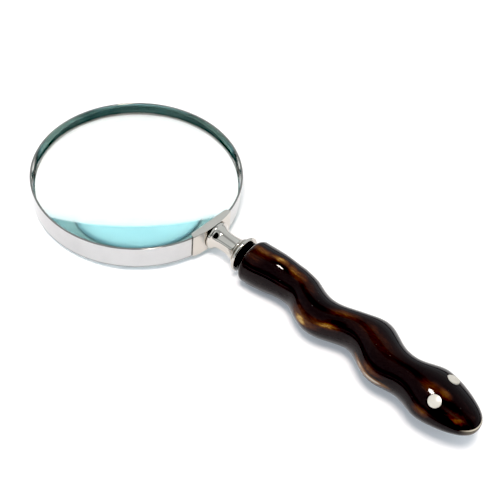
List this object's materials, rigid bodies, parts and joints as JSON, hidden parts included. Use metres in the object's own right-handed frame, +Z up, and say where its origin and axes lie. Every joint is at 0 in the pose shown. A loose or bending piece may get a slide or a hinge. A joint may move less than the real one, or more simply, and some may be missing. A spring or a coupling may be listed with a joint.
{
  "type": "hand magnifier",
  "caption": "Hand-held magnifying glass: biconvex reading lens in a polished metal band, turned metal neck and a wavy dark horn handle ending in a serpent's head.",
  "frame": {"origin": "centre of the bounding box in plan, on the table that the magnifier rests on", "axes": "+X from the lens to the head of the handle, +Z up; the band and handle tilt 1.96 degrees up towards +X at rest"},
  "size_m": [0.253, 0.104, 0.0235],
  "materials": {
    "polished_nickel": "mirror-polished nickel plating on brass strip and turned brass",
    "lens_glass": "polished clear glass with a faint blue-green tint",
    "black_ebonite": "satin black hard rubber",
    "stud_steel": "plain turned steel",
    "dark_horn": "high-gloss polished dark brown horn with amber and cream streaks",
    "ivory_bone": "polished off-white bone"
  },
  "bodies": {
    "root": {"rim_band": "polished_nickel", "lens": "lens_glass", "lens_seat_ring": "polished_nickel", "saddle": "polished_nickel", "neck": "polished_nickel", "flange": "polished_nickel", "spacer": "black_ebonite", "threaded_stud": "stud_steel", "handle": "dark_horn", "eye_left": "ivory_bone", "eye_right": "ivory_bone"}
  },
  "joints": []
}
